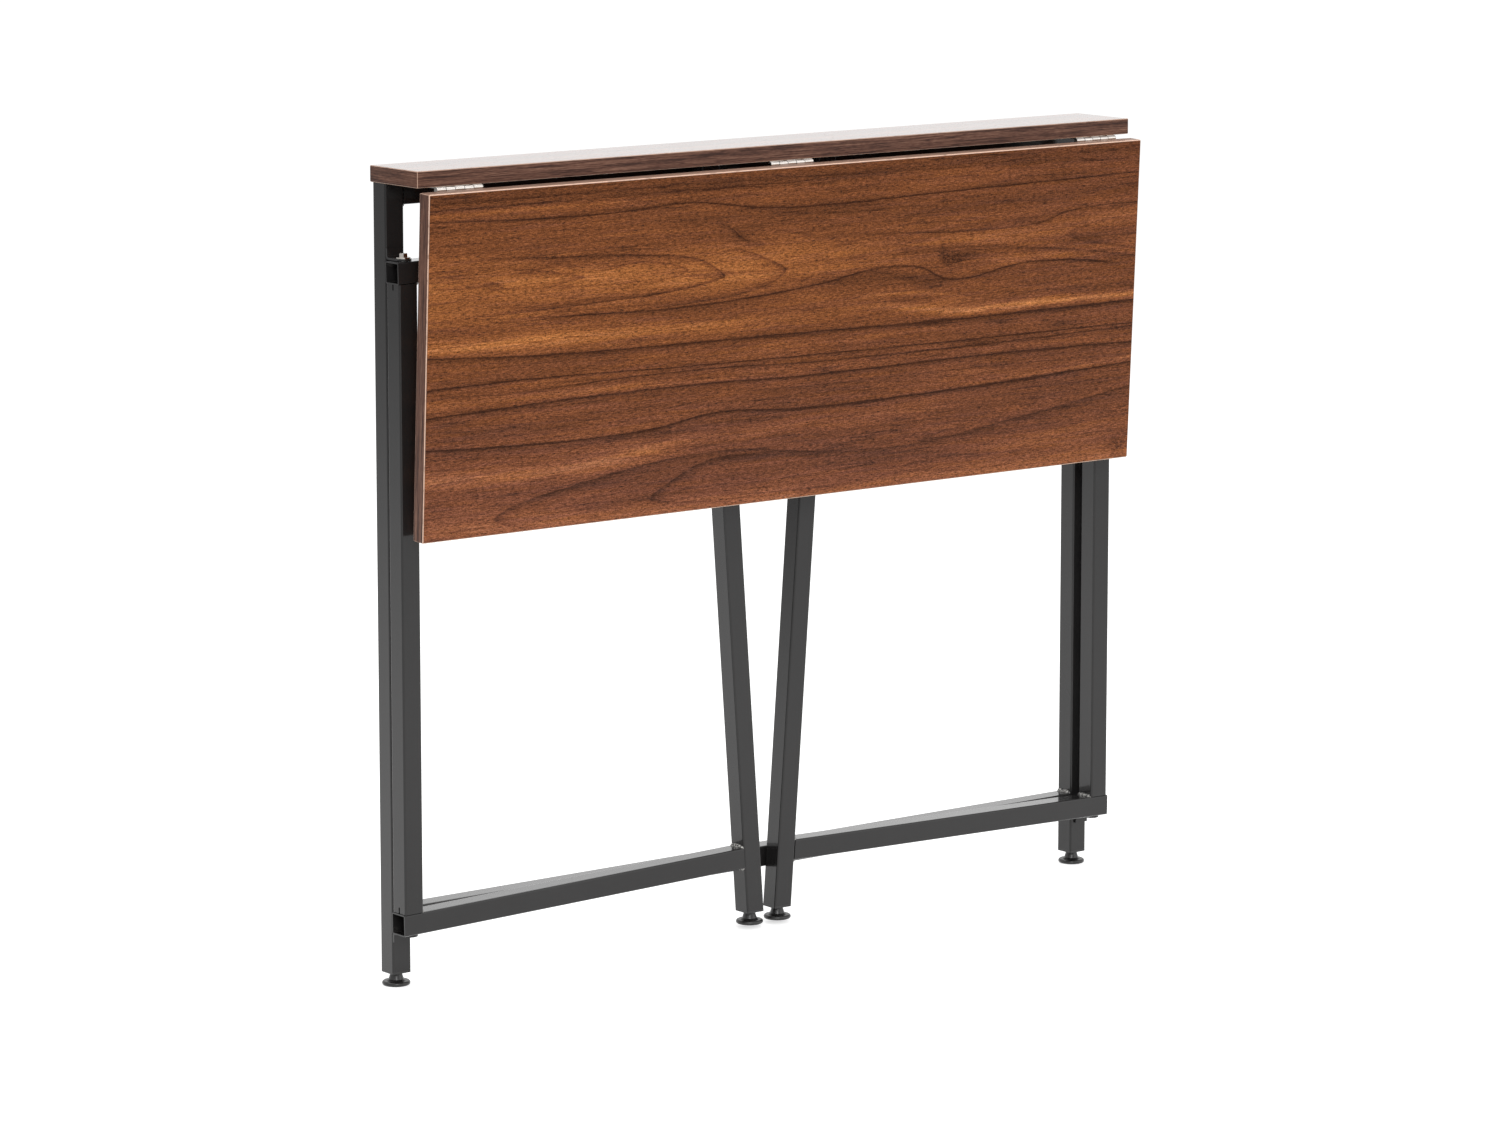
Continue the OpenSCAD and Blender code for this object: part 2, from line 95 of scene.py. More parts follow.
def share_property(name, description, default):
    """Share from 0 to 1."""
    return bpy.props.FloatProperty(
        name=name, description=description, default=default, min=0, max=1, subtype="FACTOR"
    )


def angle_property(name, description, degrees):
    """Angle whose default is given in degrees."""
    return bpy.props.FloatProperty(
        name=name, description=description, default=math.radians(degrees), subtype="ANGLE"
    )


def power_property(name, description, watts):
    """Power of a lamp."""
    return bpy.props.FloatProperty(
        name=name, description=description, default=watts, min=0, unit="POWER"
    )


class DESK_PG_boards(bpy.types.PropertyGroup):
    """Colours and gloss of the boards' walnut print"""

    line_colour: colour_property("Dark lines", "Thin dark lines of the figure", shade(62, 28, 4))
    deep_colour: colour_property("Deep brown", "Darker bands of the figure", shade(91, 50, 23))
    middle_colour: colour_property("Middle brown", "Main colour of the boards", shade(118, 67, 34))
    warm_colour: colour_property("Warm brown", "Lighter bands of the figure", shade(146, 87, 43))
    pale_colour: colour_property(
        "Pale brown", "Lightest streaks of the figure", shade(187, 119, 64)
    )
    cool_line_colour: colour_property(
        "Cool dark lines", "Dark lines near the free edge", shade(56, 29, 16)
    )
    cool_deep_colour: colour_property(
        "Cool deep brown", "Darker bands near the free edge", shade(84, 50, 38)
    )
    cool_middle_colour: colour_property(
        "Cool middle brown", "Main colour near the free edge", shade(116, 68, 49)
    )
    cool_warm_colour: colour_property(
        "Cool warm brown", "Lighter bands near the free edge", shade(142, 87, 62)
    )
    cool_pale_colour: colour_property(
        "Cool pale brown", "Lightest streaks near the free edge", shade(178, 120, 88)
    )
    face_roughness: share_property("Roughness", "Roughness of the laminate between its pores", 0.22)


class DESK_PG_bands(bpy.types.PropertyGroup):
    """Colours, radii and paler arrises of the edging strips"""

    print_colour: colour_property("Strips", "Main colour of the edging strips", shade(100, 68, 55))
    streak_colour: colour_property(
        "Streaks", "Dark streaks in the edging strips", shade(58, 36, 29)
    )
    pale_colour: colour_property(
        "Pale streaks", "Light streaks in the edging strips", shade(140, 104, 86)
    )
    # Colour drawn on the strips' arrises and board corners, and painted over the leaf's hinged edge
    # as a painted highlight
    arris_colour: colour_property("Arrises", "Lightened arrises of the strips", shade(226, 190, 168))
    arris: length_property(
        "Arris radius", "Radius of the strips' scraped arrises", 0.95 * MM, 1 * MM
    )
    corner: length_property("Corner radius", "Radius of the boards' corners", 1.4 * MM, 5 * MM)
    top_pallor: share_property("Top wear", "How far the fixed top's arrises are scraped", 0.62)
    leaf_pallor: share_property("Leaf wear", "How far the leaf's arrises are scraped", 1.0)
    # Paleness over the whole of the leaf's hinged edge is a painted highlight: it stands in for the
    # light that edge reflects
    leaf_painted_highlight: share_property(
        "Highlighted edge", "How far the whole of the leaf's hinged edge is scraped", 0.46
    )


class DESK_PG_metal(bpy.types.PropertyGroup):
    """Looks of the frame, its welds and the fittings"""

    paint_colour: colour_property(
        "Powder coat", "Colour of the frame and the gates", shade(33, 32, 32)
    )
    paint_roughness: share_property("Coat roughness", "Roughness of the powder coat", 0.24)
    # Pale colour on the welds' crests: painted glints on the powder coat
    weld_glint_colour: colour_property("Weld crests", "Colour of the welds' crests", shade(176, 174, 170))
    zinc_colour: colour_property(
        "Zinc", "Colour of the hinges, bolts and screws", (0.63, 0.59, 0.55)
    )
    plastic_colour: colour_property(
        "Plastic", "Colour of the feet, plugs and caps", shade(26, 25, 25)
    )
    bead: length_property(
        "Weld beads", "Radius of the weld beads in the tubes' corners", 2.8 * MM, 4 * MM
    )


class DESK_PG_stage(bpy.types.PropertyGroup):
    """Floor, lamps and camera"""

    floor_size: length_property("Floor", "Width of the floor", 80, 200)
    ambient: share_property("Ambient", "Diffuse light from all round", 0.55)
    key_power: power_property("Key lamp", "Power of the soft lamp at the left", 150)
    fill_power: power_property("Fill lamp", "Power of the soft lamp at the right", 24)
    top_power: power_property("Top lamp", "Power of the soft lamp overhead", 75)
    camera_place: bpy.props.FloatVectorProperty(
        name="Camera", description="Place of the camera", default=(-3.2186, -4.0901, 1.2453),
        unit="LENGTH", subtype="TRANSLATION",
    )
    camera_turn: angle_property("Turn", "Turn of the camera away from straight ahead", 37.979)
    camera_dip: angle_property("Dip", "Downward tilt of the camera", 9.125)
    camera_lens: bpy.props.FloatProperty(
        name="Lens", description="Focal length", default=134.41, unit="CAMERA"
    )
    camera_shift: bpy.props.FloatProperty(
        name="Shift", description="Upward shift of the lens", default=-0.04
    )


class Wire:
    """An output socket of a shader node, with the arithmetic that adds Math nodes to it."""

    def __init__(self, graph, socket):
        self.graph = graph
        self.socket = socket

    def math(self, operation, *others, first=None):
        """A Math node of this wire and others, or of first and this wire."""
        values = (self, *others) if first is None else (first, self)
        return self.graph.add("ShaderNodeMath", {"operation": operation}, dict(enumerate(values)))

    def __add__(self, other):
        return self.math("ADD", other)

    __radd__ = __add__

    def __mul__(self, other):
        return self.math("MULTIPLY", other)

    __rmul__ = __mul__

    def __sub__(self, other):
        return self.math("SUBTRACT", other)

    def __rsub__(self, other):
        return self.math("SUBTRACT", first=other)

    def __truediv__(self, other):
        return self.math("DIVIDE", other)

    def __pow__(self, other):
        return self.math("POWER", other)

    def __abs__(self):
        return self.math("ABSOLUTE")

    def exp(self):
        return self.math("EXPONENT")

    def at_least(self, other):
        """The larger of the two."""
        return self.math("MAXIMUM", other)

    def fade(self, start, end):
        """0 before start, 1 after end, and smooth between them."""
        return self.graph.add(
            "ShaderNodeMapRange",
            {"interpolation_type": "SMOOTHSTEP"},
            {"Value": self, "From Min": start, "From Max": end},
        )

    def output(self, name):
        """Another output of the same node."""
        return Wire(self.graph, self.socket.node.outputs[name])


class Graph:
    """The nodes of a material or of the world, emptied first."""

    def __init__(self, owner):
        owner.use_nodes = True
        self.owner = owner
        self.tree = owner.node_tree
        self.tree.nodes.clear()

    def add(self, kind, settings=None, inputs=None, output=0):
        """Adds a node: first its settings, a ramp's stops or a curve's points, then its inputs."""
        node = self.tree.nodes.new(kind)
        for name, value in (settings or {}).items():
            if name == "stops":
                set_stops(node.color_ramp, value)
            elif name == "points":
                set_points(node.mapping, value)
            else:
                setattr(node, name, value)
        for name, value in (inputs or {}).items():
            if isinstance(value, Wire):
                self.tree.links.new(value.socket, node.inputs[name])
            else:
                node.inputs[name].default_value = value
        return Wire(self, node.outputs[output]) if node.outputs else node

    def split(self, place):
        """A place in metres as three wires, in millimetres."""
        scaled = self.add("ShaderNodeMapping", {}, {"Vector": place, "Scale": (1 / MM,) * 3})
        x = self.add("ShaderNodeSeparateXYZ", {}, {0: scaled})
        return x, x.output("Y"), x.output("Z")

    def millimetres(self):
        """The place on the object as three wires, in millimetres."""
        return self.split(self.add("ShaderNodeTexCoord", output="Object"))

    def noise(self, x, y, z, detail=1.0, roughness=0.5):
        """Smooth noise from 0 to 1 that changes over a step of about 1 in x, y and z."""
        place = self.add("ShaderNodeCombineXYZ", {}, {0: x, 1: y, 2: z})
        values = {"Vector": place, "Scale": 1.0, "Detail": detail, "Roughness": roughness}
        return self.add("ShaderNodeTexNoise", {}, values)

    def ripple(self, x, y, z, detail=1.0, roughness=0.5):
        """Smooth noise from -0.5 to 0.5."""
        return self.noise(x, y, z, detail, roughness) - 0.5

    def ramp(self, value, stops):
        """Colour at value along the stops."""
        return self.add("ShaderNodeValToRGB", {"stops": stops}, {0: value})

    def mix(self, factor, first, second, blend="MIX"):
        """Colour that goes from first to its blend with second as factor goes from 0 to 1."""
        settings = {"data_type": "RGBA", "blend_type": blend}
        return self.add("ShaderNodeMix", settings, {0: factor, 6: rgba(first), 7: rgba(second)}, 2)

    def curve(self, value, points):
        """Height of a smooth curve at value, which runs from 0 to 1 as the points do."""
        return self.add("ShaderNodeFloatCurve", {"points": points}, {"Value": value})

    def relief(self, height, depth):
        """Normal of a surface whose height, from 0 to 1, stands for depth in metres."""
        values = {"Height": height, "Distance": depth, "Strength": 1.0}
        return self.add("ShaderNodeBump", {}, values)

    def finish(self, **inputs):
        """Closes the material with a principled shader and returns it."""
        named = {name.replace("_", " "): value for name, value in inputs.items()}
        shader = self.add("ShaderNodeBsdfPrincipled", {}, named)
        self.add("ShaderNodeOutputMaterial", {}, {"Surface": shader})
        return self.owner


def new_material(name):
    """Empty graph of a new material."""
    return Graph(bpy.data.materials.new(name))


def rgba(colour):
    """A colour with its alpha, or a wire as it is."""
    return colour if isinstance(colour, Wire) else (*colour, 1.0)


def set_stops(ramp, stops):
    """Gives a ramp its stops, each a position and a colour."""
    while len(ramp.elements) > 1:
        ramp.elements.remove(ramp.elements[-1])
    for number, (position, colour) in enumerate(stops):
        element = ramp.elements.new(position) if number else ramp.elements[0]
        element.position = position
        element.color = (*colour, 1)


def set_points(mapping, points):
    """Lays a curve through points from left to right."""
    line = mapping.curves[0].points
    line[0].location, line[1].location = points[0], points[-1]
    for place, height in points[1:-1]:
        line.new(place, height)
    mapping.update()


def dress(material, *names):
    """Gives a material to CAD nodes."""
    for name in names:
        mesh = NODES[name].data
        mesh.materials.clear()
        mesh.materials.append(material)


def names_with(*starts):
    """Names of the CAD nodes that start with one of these."""
    return [name for name in NODES if name.startswith(starts)]


def grid_object(name, grids, wraps, material, marks=None, uvs=None):
    """One object from grids of points[i, j], joined as quads, whose loops close as wraps says.

    Quad (i, j) has the corners (i, j), (i + 1, j), (i + 1, j + 1) and (i, j + 1). Where only the
    second loop closes, the first and last rings get a face of their own. marks are values of
    the points, uvs a place for each grid corner, seams included.
    """
    points, faces, places, first = [], [], [], 0
    corners = ((0, 0), (1, 0), (1, 1), (0, 1))
    for number, grid in enumerate(grids):
        rows, columns = grid.shape[:2]
        i, j = np.indices([rows - (not wraps[0]), columns - (not wraps[1])])
        quads = np.stack(
            [(i + a) % rows * columns + (j + b) % columns for a, b in corners], axis=-1
        )
        faces += (quads.reshape(-1, 4) + first).tolist()
        if uvs is not None:
            own = [uvs[number][i + a, j + b] for a, b in corners]
            places.append(np.stack(own, axis=-2).reshape(-1, 2))
        if wraps[1] and not wraps[0]:
            ring = np.arange(columns) + first
            faces += [ring.tolist(), (ring + (rows - 1) * columns)[::-1].tolist()]
        points.append(grid.reshape(-1, 3))
        first += rows * columns
    mesh = bpy.data.meshes.new(name)
    mesh.from_pydata(np.concatenate(points).tolist(), [], faces)
    mesh.polygons.foreach_set("use_smooth", np.ones(len(faces), dtype=bool))
    if marks is not None:
        layer = mesh.attributes.new("arris", "FLOAT", "POINT")
        values = np.concatenate([mark.ravel() for mark in marks])
        layer.data.foreach_set("value", values.astype(np.float32))
    if uvs is not None:
        layer = mesh.uv_layers.new(name="strip")
        layer.data.foreach_set("uv", np.concatenate(places).astype(np.float32).ravel())
    mesh.materials.append(material)
    mesh.update()
    piece = bpy.data.objects.new(name, mesh)
    bpy.context.scene.collection.objects.link(piece)
    return piece


def mesh_object(name, grids, wraps, material, body, marks=None, uvs=None):
    """A piece of the desk from grids of points, which rides on a body."""
    piece = grid_object(name, grids, wraps, material, marks, uvs)
    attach(piece, body)
    return piece


def hung(points):
    """Turns points of the level leaf down to hanging: a turn about X through the pins."""
    cos, sin = math.cos(HANG), math.sin(HANG)
    turn = np.array([[1, 0, 0], [0, cos, -sin], [0, sin, cos]])
    return (points - PIN) @ turn.T + PIN


def mound(u, v, centre_u, centre_v, wide, high):
    """1 at the centre, falling away as exp(-(du / wide)^2 - (dv / high)^2)."""
    across = (u - centre_u) * (1 / wide)
    down = (v - centre_v) * (1 / high)
    return ((across * across + down * down) * -1).exp()


# Size of the leaf's figure, in millimetres: u runs along the board, v down from its hinged edge
FIGURE_L = 840
FIGURE_W = 314

# Tone at which each of the figure's five colours lies
TONES = ((0.0, "line"), (0.22, "deep"), (0.48, "middle"), (0.72, "warm"), (1.0, "pale"))


def along_path(graph, u, v, lead, tail, path):
    """Distance of v below a smooth path of points (u, v), and how far the path has faded in.

    The distance is a share of the leaf's width. lead and tail are the lengths over which the
    ends fade; the second value is None where neither does.
    """
    points = [(along / FIGURE_L, across / FIGURE_W) for along, across in path]
    off = v * (1 / FIGURE_W) - graph.curve(u * (1 / FIGURE_L), points)
    share = None
    if lead:
        share = u.fade(path[0][0], path[0][0] + lead)
    if tail:
        fall = u.fade(path[-1][0], path[-1][0] - tail)
        share = share * fall if lead else fall
    return off, share


def grain_line(graph, u, v, strength, above, below, lead, tail, *path):
    """Grain line: strength on its path, falling as exp(-distance / reach) above and below it."""
    off, share = along_path(graph, u, v, lead, tail, path)
    line = (off * (-FIGURE_W / below)).math("MINIMUM", off * (FIGURE_W / above)).exp() * strength
    return line * share if share else line


def grain_band(graph, u, v, strength, half, lead, tail, *path):
    """Grain band: strength on its path, falling off as exp(-(distance / half)^2)."""
    off, share = along_path(graph, u, v, lead, tail, path)
    band = (off * off * (-((FIGURE_W / half) ** 2))).exp() * strength
    return band * share if share else band


def figure_tone(graph, u, v, layer, figure):
    """What the figure adds to the tone: its bands and shades, less its lines and knots.

    v is shaken a little by noise for the bands and lines, the lines are stronger and weaker in
    patches, and loops of noise mottle the knots.
    """
    shaky = v + graph.ripple(u / 34, v / 14, layer + 9, 2) * 1.5
    patchy = 0.45 + graph.noise(u / 40, v / 5, layer + 11, 2, 0.6) * 1.15
    tone = figure["tone"]
    for band in figure["bands"]:
        tone = grain_band(graph, u, shaky, *band) + tone
    for line in figure["lines"]:
        tone = tone - grain_line(graph, u, shaky, *line) * patchy
    for amount, *spot in figure["shades"]:
        tone = tone + mound(u, v, *spot) * amount
    for amount, *spot in figure["knots"]:
        loops = abs(graph.ripple(u / 5.5, v / 2.6, layer + 13, 2, 0.6)).fade(0.0, 0.09)
        tone = tone - mound(u, v, *spot) * (1.25 - loops) * amount
    return tone


def streaky_tone(graph, u, bent, layer):
    """What noise drawn out along the grain adds to the tone: clouds and streaks, less hairlines.

    A hairline lies where a noise crosses its middle, and breaks where another one is low.
    """
    clouds = graph.ripple(u / 170, bent / 13, layer + 1)
    streaks = graph.ripple(u / 60, bent / 2.2, layer + 3, 2, 0.6)
    hairlines = abs(graph.ripple(u / 190, bent / 6.5, layer + 8, 2)).fade(0.035, 0.0)
    fine_hairlines = abs(graph.ripple(u / 80, bent / 2.8, layer + 12)).fade(0.05, 0.0)
    breaks = graph.noise(u / 40, bent / 6, layer + 14, 2, 0.6).fade(0.34, 0.6)
    return clouds * 0.42 + streaks * 0.34 - (hairlines * 0.22 + fine_hairlines * 0.1) * breaks


def walnut(name, place, figure, looks, gloss):
    """Walnut print: figure and streaks in golden browns, cooler low down and to the right.

    v is first bent by slow noise, so that nothing runs quite straight. Fibres and specks, less
    the pores, then brighten and darken the colour.
    """
    graph = new_material(name)
    u, v, w = place(graph)
    layer = w * 0.02 + figure["seed"]
    bent = v + graph.ripple(u / 260, v / 70, layer) * 7
    bent = bent + graph.ripple(u / 60, v / 14, layer + 5) * 2.4
    tone = figure_tone(graph, u, v, layer, figure) + streaky_tone(graph, u, bent, layer)
    golden, plum = (
        graph.ramp(tone, [(step, getattr(looks, f"{kind}{part}_colour")) for step, part in TONES])
        for kind in ("", "cool_")
    )
    low = v.fade(*figure["cool_v"])
    coolness = low * 0.7 + u.fade(*figure["cool_u"]) * (0.25 - low * 0.5)
    coolness = coolness + graph.ripple(u / 70, bent / 4, layer + 16, 2, 0.6) * 1.4
    fibres = graph.ripple(u / 4.5, bent / 0.78, layer + 4)
    specks = graph.ripple(u / 1.3, v / 0.85, layer + 15, 0)
    pores = graph.noise(u / 6, bent / 0.9, layer + 6, 0).fade(0.64, 0.78)
    texture = fibres * 2.6 + specks * 1.4 - pores * 0.3
    colour = graph.mix(coolness, golden, plum)
    colour = graph.mix(1.0, colour, texture * gloss["texture"] + 1, "MULTIPLY")
    colour = graph.mix(1.0, colour, texture.at_least(0) * 0.012, "ADD")
    patches = graph.ripple(u / 30, v / 30, layer + 7, 2)
    return graph.finish(
        Base_Color=colour,
        Roughness=looks.face_roughness + pores * 0.15 + patches * 0.06,
        Specular_IOR_Level=gloss["specular"],
        Coat_Weight=1.0,
        Coat_Roughness=0.09,
        Coat_IOR=gloss["coat"],
        Normal=graph.relief(pores * -0.7 + fibres * 0.3, gloss["relief"] * MM),
    )


LEAF_FIGURE = {
    "seed": 3.0,
    "tone": 0.46,
    "cool_v": (110, 310),
    "cool_u": (380, 840),
    # Strength, half width, lengths of both ends, then the band's points
    "bands": (
        (-0.11, 9, 0, 0, (0, 5), (840, 7)),
        (-0.10, 9, 120, 0, (180, 38), (500, 47), (840, 42)),
        (0.30, 24, 0, 300, (0, 88), (300, 90), (640, 82)),
        (0.22, 9, 160, 0, (520, 74), (680, 80), (840, 70)),
        (0.16, 9, 60, 0, (620, 103), (840, 99)),
        (-0.16, 6, 60, 60, (430, 118), (520, 108), (590, 121), (640, 127)),
        (0.36, 8, 0, 300, (0, 137), (250, 139), (420, 141), (560, 139)),
        (0.34, 4.5, 160, 0, (420, 140), (500, 135), (560, 143), (615, 149), (720, 149), (840, 150)),
        (0.05, 5, 0, 0, (0, 163), (840, 166)),
        (0.16, 4, 60, 0, (590, 149), (720, 148), (840, 147)),
        (-0.16, 3, 60, 120, (310, 27), (375, 35.5), (430, 38.5), (540, 38)),
        (0.18, 4, 0, 260, (0, 190), (420, 189), (600, 189)),
        (0.32, 8, 0, 120, (0, 257), (130, 260), (250, 251), (340, 240)),
        (0.16, 6, 200, 200, (250, 246), (450, 246), (640, 236)),
        (-0.08, 8, 200, 60, (340, 280), (460, 284), (560, 285)),
        (0.10, 7, 100, 0, (560, 290), (700, 286), (840, 280)),
        (0.26, 12, 0, 0, (0, 304), (420, 312), (840, 306)),
    ),
    # Amount, then centre and reach along and across the board
    "shades": (
        (-0.16, 350, 58, 16, 6),
        (-0.10, 800, 87, 50, 9),
        (-0.22, 593, 92, 5, 7),
        (-0.20, 624, 97, 11, 3.5),
        (0.16, 603, 101, 3.5, 2),
    ),
    "knots": (
        (0.62, 604, 98, 12, 6.5),
        (0.45, 826, 298, 12, 9),
        (0.22, 70, 84, 12, 3),
    ),
    # Strength, reach above and below, lengths of both ends, then the line's points
    "lines": (
        (0.62, 0.9, 0.45, 0, 0, (0, 23.3), (200, 28), (290, 24.5), (375, 34.3), (430, 36.5),
         (595, 33.8), (840, 29.6)),
        (0.24, 1.6, 0.6, 0, 200, (0, 14), (300, 13), (560, 12)),
        (0.20, 1.6, 0.6, 0, 0, (0, 8), (420, 9), (840, 16)),
        (0.46, 1.0, 0.5, 180, 0, (420, 72), (502, 68.7), (620, 73), (712, 71.3), (750, 62.5),
         (840, 59.5)),
        (0.20, 0.7, 3.5, 16, 0, (742, 85), (775, 76.5), (840, 72)),
        (0.26, 5.0, 0.7, 16, 0, (742, 85), (770, 92.5), (840, 105)),
        (0.60, 0.6, 1.2, 80, 60, (80, 115.5), (190, 119), (275, 120.5), (430, 112), (520, 101),
         (560, 102.5), (605, 118), (700, 108.5), (840, 121)),
        (0.18, 1.2, 0.8, 60, 90, (100, 112), (240, 115), (320, 113)),
        (0.56, 0.6, 2.4, 0, 0, (0, 145), (125, 151.5), (420, 155), (620, 157), (840, 155)),
        (0.60, 0.4, 0.8, 0, 0, (0, 174.5), (100, 172.3), (300, 176), (840, 178)),
        (0.46, 0.5, 0.8, 90, 0, (60, 185.5), (300, 180), (440, 184), (840, 181)),
        (0.58, 0.5, 1.6, 0, 0, (0, 199.3), (300, 193.5), (420, 196), (650, 194.5), (840, 197)),
        (0.20, 0.6, 1.2, 120, 0, (300, 208), (560, 206), (840, 208)),
        (0.60, 0.5, 1.8, 0, 0, (0, 228), (180, 233), (250, 231), (330, 222), (420, 226.5),
         (600, 225), (840, 216.5)),
        (0.20, 1.0, 1.6, 60, 60, (170, 232.5), (240, 237), (330, 232), (440, 233)),
        (0.34, 0.6, 4.0, 6, 0, (75, 297.5), (100, 287.5), (150, 277.5), (325, 258.8),
         (470, 271.5), (560, 273.5),
         (700, 259), (840, 240)),
        (0.24, 4.0, 0.8, 3, 60, (75, 297.5), (95, 305.5), (150, 309)),
        (0.34, 0.7, 4.6, 6, 60, (250, 295), (275, 282.5), (320, 266), (350, 264.5), (420, 271)),
        (0.26, 0.8, 2.2, 3, 120, (250, 295), (285, 302.5), (420, 304), (560, 303)),
        (0.34, 1.8, 1.6, 30, 8, (0, 82.5), (60, 84.5), (74, 82.5)),
        (0.20, 0.6, 2.0, 60, 3, (0, 73), (50, 77), (83, 86)),
        (0.16, 2.0, 0.6, 40, 3, (10, 93), (60, 91.5), (83, 86)),
        (0.26, 0.6, 2.2, 90, 3, (60, 67), (130, 76), (172, 84)),
        (0.24, 2.2, 0.6, 40, 3, (110, 95), (140, 89.5), (172, 84)),
        (0.22, 0.6, 1.6, 120, 3, (170, 71), (262, 78), (290, 86)),
        (0.20, 1.6, 0.6, 60, 3, (200, 97), (275, 91), (290, 86)),
        (0.50, 0.5, 2.0, 200, 2, (0, 54), (125, 63), (225, 67.5), (300, 77), (320, 86),
         (332, 95.5)),
        (0.50, 2.0, 0.5, 160, 2, (0, 113), (175, 109), (275, 104.5), (318, 98.8), (332, 95.5)),
        (0.40, 0.5, 2.6, 40, 3, (330, 67), (375, 80), (405, 94)),
        (0.36, 2.6, 0.5, 60, 3, (225, 118), (300, 117), (380, 107.5), (405, 94)),
        (0.30, 0.7, 2.8, 14, 12, (316, 44), (335, 49.5), (350, 60), (362, 65), (382, 66)),
        (0.30, 0.7, 1.6, 90, 0, (500, 93.5), (590, 87), (700, 94), (840, 112)),
        (-0.24, 1.4, 1.4, 40, 40, (470, 130), (545, 127), (630, 137)),
        (-0.22, 1.4, 1.4, 80, 0, (600, 222), (700, 219.5), (840, 211)),
        (-0.20, 1.4, 1.2, 0, 200, (0, 19), (300, 18), (560, 20)),
    ),
}

TOP_FIGURE = {
    "seed": 41.0,
    "tone": 0.46,
    "cool_v": (-40, 120),
    "cool_u": (380, 840),
    "bands": (
        (0.14, 9, 0, 0, (0, 22), (420, 28), (840, 20)),
        (-0.12, 7, 0, 0, (0, 46), (420, 42), (840, 50)),
    ),
    "shades": (),
    "knots": (),
    "lines": (
        (0.40, 0.7, 3.0, 0, 0, (0, 13), (260, 15), (520, 12), (840, 16)),
        (0.36, 0.7, 2.4, 0, 0, (0, 33), (200, 32), (430, 36), (640, 33), (840, 35)),
        (0.30, 2.4, 0.7, 0, 0, (0, 56), (300, 58), (560, 54), (840, 57)),
    ),
}

# Gloss of the leaf's print, and of the fixed top's, which shines more
LEAF_GLOSS = {"specular": 0.05, "coat": 1.1, "relief": 0.03, "texture": 0.9}
TOP_GLOSS = {"specular": 0.3, "coat": 1.3, "relief": 0.0, "texture": 0.25}


def leaf_place(graph):
    """Along the leaf, down it from its hinged edge, and through it, in millimetres."""
    x, y, z = graph.millimetres()
    cos, sin = math.cos(HANG), math.sin(HANG)
    low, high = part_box("leaf_board")
    half = (high.x - low.x) / 2 / MM
    return x + half, y * -cos + z * -sin + high.z / MM, y * -sin + z * cos


def top_place(graph):
    """Along the fixed top, across it from its front, and through it, in millimetres."""
    x, y, z = graph.millimetres()
    low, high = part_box("fixed_top_board")
    return x + (high.x - low.x) / 2 / MM, y - low.y / MM, z - low.z / MM


class DESK_OT_boards(bpy.types.Operator):
    """Gives the fixed top and the leaf their walnut print"""

    bl_idname = "desk.boards"
    bl_label = "Finish the boards"

    def execute(self, context):
        looks = context.scene.desk_boards
        dress(walnut("walnut leaf", leaf_place, LEAF_FIGURE, looks, LEAF_GLOSS), "leaf_board")
        dress(walnut("walnut top", top_place, TOP_FIGURE, looks, TOP_GLOSS), "fixed_top_board")
        return {"FINISHED"}


def edging_print(looks):
    """Edging strip: streaks along it, paler arrises and a painted highlight on the hinged edge."""
    graph = new_material("edging strip")
    along, across, _ = graph.split(graph.add("ShaderNodeUVMap", {"uv_map": "strip"}))
    bands = graph.ripple(along / 150, across / 3.6, 1, 2, 0.6)
    streaks = graph.ripple(along / 40, across / 1.1, 4, 3, 0.65)
    lines = abs(graph.ripple(along / 120, across / 3.0, 7, 2, 0.6)).fade(0.05, 0.0)
    flecks = graph.ripple(along / 7, across / 0.8, 9)
    tone = 0.5 + bands * 1.5 + streaks * 1.3 + flecks * 0.7 - lines * 0.35
    stops = ((0.1, looks.streak_colour), (0.5, looks.print_colour), (1.0, looks.pale_colour))
    # The arris mark holds the paler arrises and corners, and the painted highlight on the leaf's
    # hinged edge
    pale_marks = graph.add("ShaderNodeAttribute", {"attribute_name": "arris"}, output="Fac")
    patchy = graph.noise(along / 9, across / 2, 8, 2)
    arris = pale_marks.fade(0.3, 0.85) * patchy.fade(0.1, 0.5)
    return graph.finish(
        Base_Color=graph.mix(arris, graph.ramp(tone, stops), looks.arris_colour),
        Roughness=0.36 + arris * 0.12 + streaks * 0.1,
        Specular_IOR_Level=0.14,
        Normal=graph.relief(streaks, 0.02 * MM),
    )


# Points of each quarter circle in an edging strip's outline and section
ARC = 7
# How deep an edging strip reaches in from its board's side
STRIP_DEPTH = 1 * MM
# Distances from an arris to the points that keep the face and the side beside it flat
FACE_HOLD = 0.12 / 9 * MM
SIDE_HOLD = 0.12 * MM
# How far the strip is drawn paler at the middle of a board's corner
CORNER_PALLOR = 0.7


def strip_section(thick, arris, pallor):
    """Section of an edging strip: how far out and up its points lie, and how far each is drawn
    paler.

    It is a thin rectangle whose two outer corners are quarter circles of radius arris.
    """
    turn = np.linspace(0, math.pi / 2, ARC)
    outward = np.concatenate([[-STRIP_DEPTH, -arris - FACE_HOLD], arris * (np.sin(turn) - 1)])
    upward = np.concatenate([[0, 0], arris * (1 - np.cos(turn))])
    lightened = np.concatenate([[0, 0], pallor * np.sin(2 * turn) ** 0.5])
    side = [arris + SIDE_HOLD, thick - arris - SIDE_HOLD]
    return (
        np.concatenate([outward, [0, 0], outward[::-1]]),
        np.concatenate([upward, side, thick - upward[::-1]]),
        np.concatenate([lightened, [0, 0], lightened[::-1]]),
    )


